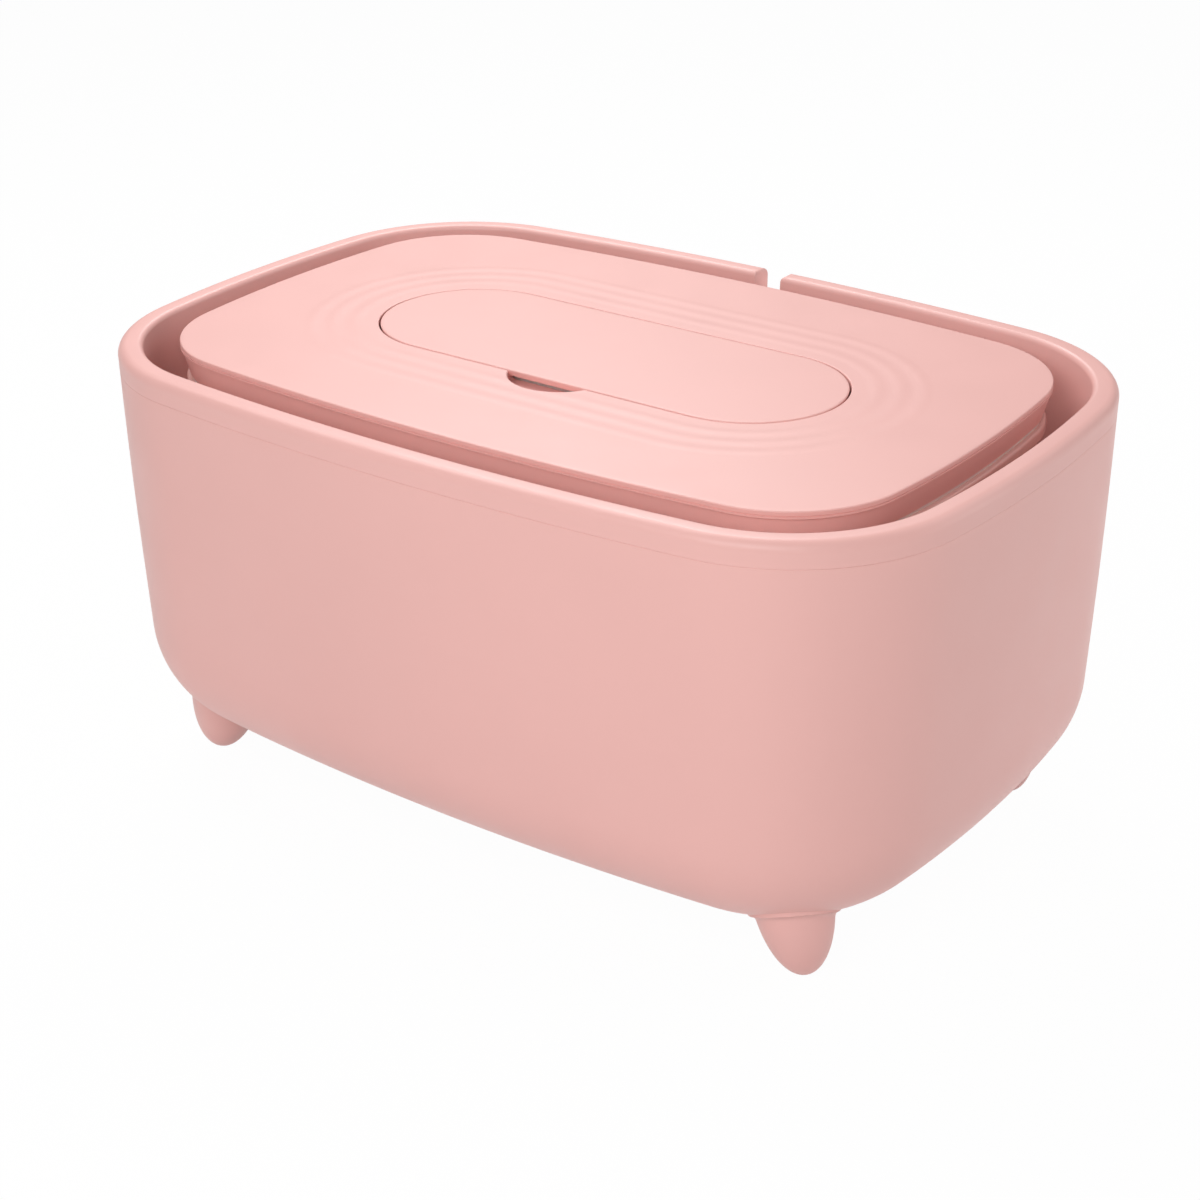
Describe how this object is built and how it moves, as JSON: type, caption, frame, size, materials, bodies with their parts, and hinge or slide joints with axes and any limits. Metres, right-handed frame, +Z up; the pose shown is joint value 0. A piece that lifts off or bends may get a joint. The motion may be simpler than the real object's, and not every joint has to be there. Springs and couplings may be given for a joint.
{
  "type": "baby wipe warmer",
  "caption": "Footed double-walled tub holding a lift-out wipes bin under a heated drop-in lid with a flush hinged dispensing flap.",
  "frame": {"origin": "on the floor under the middle of the tub, the centre of the whole part's lowest plane", "axes": "+Z up, +X along the length towards the right, -Y towards the front, where the finger scoop is; the cord slot is at the back, +Y"},
  "size_m": [0.24, 0.1626, 0.1174],
  "materials": {
    "pink_plastic": "satin moulded plastic",
    "bin_plastic": "satin moulded plastic, a little greyer",
    "foam": "closed-cell foam",
    "felt": "needled felt",
    "steel": "zinc-plated steel",
    "silicone": "soft silicone",
    "heater_alloy": "fine brushed, clear coated",
    "heater_film": "polyimide film",
    "black_plastic": "moulded",
    "board": "solder mask on glass laminate",
    "red_lead": "wire insulation",
    "black_lead": "wire insulation",
    "gland_rubber": "soft moulded rubber"
  },
  "bodies": {
    "tub": {"outer_shell": "pink_plastic", "inner_tub": "pink_plastic", "insulation_sleeve": "foam", "insulation_base": "foam", "foot_front_left": "pink_plastic", "foot_front_right": "pink_plastic", "foot_back_left": "pink_plastic", "foot_back_right": "pink_plastic", "foot_screws": "steel", "tub_screws": "steel"},
    "bin": {"wipes_bin": "bin_plastic"},
    "lid": {"lid_gasket": "silicone", "lid_housing": "pink_plastic", "top_cover": "pink_plastic", "dispenser_frame": "pink_plastic", "dispenser_seal": "silicone", "frame_screws": "steel", "lid_screws": "steel", "heater_plate": "heater_alloy", "heating_film": "heater_film", "lid_insulation": "felt", "plate_screws": "steel", "thermistor": "black_plastic", "thermal_fuse": "steel", "control_board": "board", "board_parts": "black_plastic", "board_screws": "steel", "heater_leads": "red_lead", "sensor_leads": "black_lead", "power_leads": "red_lead", "cord_gland": "gland_rubber", "hinge_pins": "steel"},
    "flap": {"flap": "pink_plastic", "flap_seal": "silicone"}
  },
  "joints": [
    {"name": "bin_lift", "type": "slide", "parent": "tub", "child": "bin", "axis": [0, 0, 1], "range_m": [0, 0.1]},
    {"name": "lid_lift", "type": "slide", "parent": "bin", "child": "lid", "axis": [0, 0, 1], "range_m": [0, 0.06]},
    {"name": "flap_hinge", "type": "hinge", "parent": "lid", "child": "flap", "pos_m": [0, 0.0297, 0.11445], "axis": [-1, 0, 0], "range_deg": [0, 105]}
  ]
}
